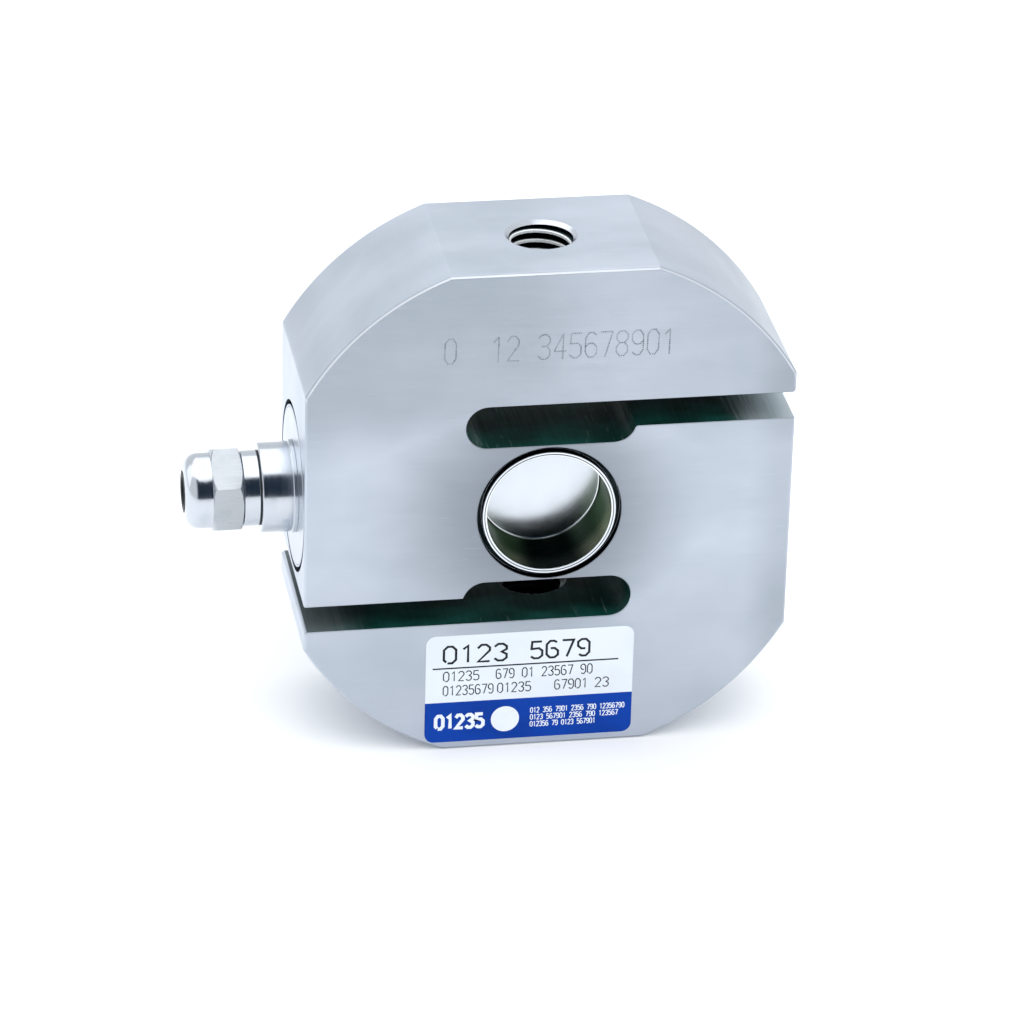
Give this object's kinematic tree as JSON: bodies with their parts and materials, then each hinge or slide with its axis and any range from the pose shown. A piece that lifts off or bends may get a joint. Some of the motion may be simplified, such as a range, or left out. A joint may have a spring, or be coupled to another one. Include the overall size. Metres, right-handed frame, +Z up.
{
  "type": "s type load cell",
  "caption": "Disc-shaped S type load cell: slotted steel spring body with a welded gauge bore, axial load threads, a label and a side cable gland.",
  "frame": {"origin": "middle of the bottom face, on the load axis", "axes": "+Z up along the load axis, the labelled face looks along -Y, the cable entry points along -X"},
  "size_m": [0.1018, 0.0307, 0.089],
  "materials": {
    "body_steel": "satin ground stainless steel",
    "cup_steel": "bright drawn stainless steel",
    "nickel_plate": "bright nickel plate, turned",
    "screw_steel": "plain steel",
    "black_rubber": "matt moulded rubber",
    "cage_plastic": "natural nylon",
    "board_laminate": "green solder mask",
    "gauge_film": "amber backing film",
    "terminal_copper": "tinned copper on film",
    "wire_red": "extruded insulation",
    "wire_green": "extruded insulation",
    "wire_black": "extruded insulation",
    "wire_white": "extruded insulation",
    "resistor_coat": "lacquered",
    "label_film": "satin polyester film with a blue band"
  },
  "bodies": {
    "root": {"board_screw_1": "screw_steel", "board_screw_2": "screw_steel", "bridge_wire_1": "wire_red", "bridge_wire_2": "wire_green", "bridge_wire_3": "wire_black", "bridge_wire_4": "wire_white", "compensation_board": "board_laminate", "entry_boss": "nickel_plate", "front_cup": "cup_steel", "gauge_terminal_1": "terminal_copper", "gauge_terminal_2": "terminal_copper", "gauge_terminal_3": "terminal_copper", "gauge_terminal_4": "terminal_copper", "gland_body": "nickel_plate", "gland_cage": "cage_plastic", "gland_cap": "nickel_plate", "gland_gasket": "black_rubber", "gland_seal": "black_rubber", "label": "label_film", "rear_cup": "cup_steel", "side_cover": "body_steel", "spring_body": "body_steel", "strain_gauge_1": "gauge_film", "strain_gauge_2": "gauge_film", "strain_gauge_3": "gauge_film", "strain_gauge_4": "gauge_film", "trim_resistor_1": "resistor_coat", "trim_resistor_2": "resistor_coat", "trim_resistor_3": "resistor_coat", "trim_resistor_4": "resistor_coat"}
  },
  "joints": []
}
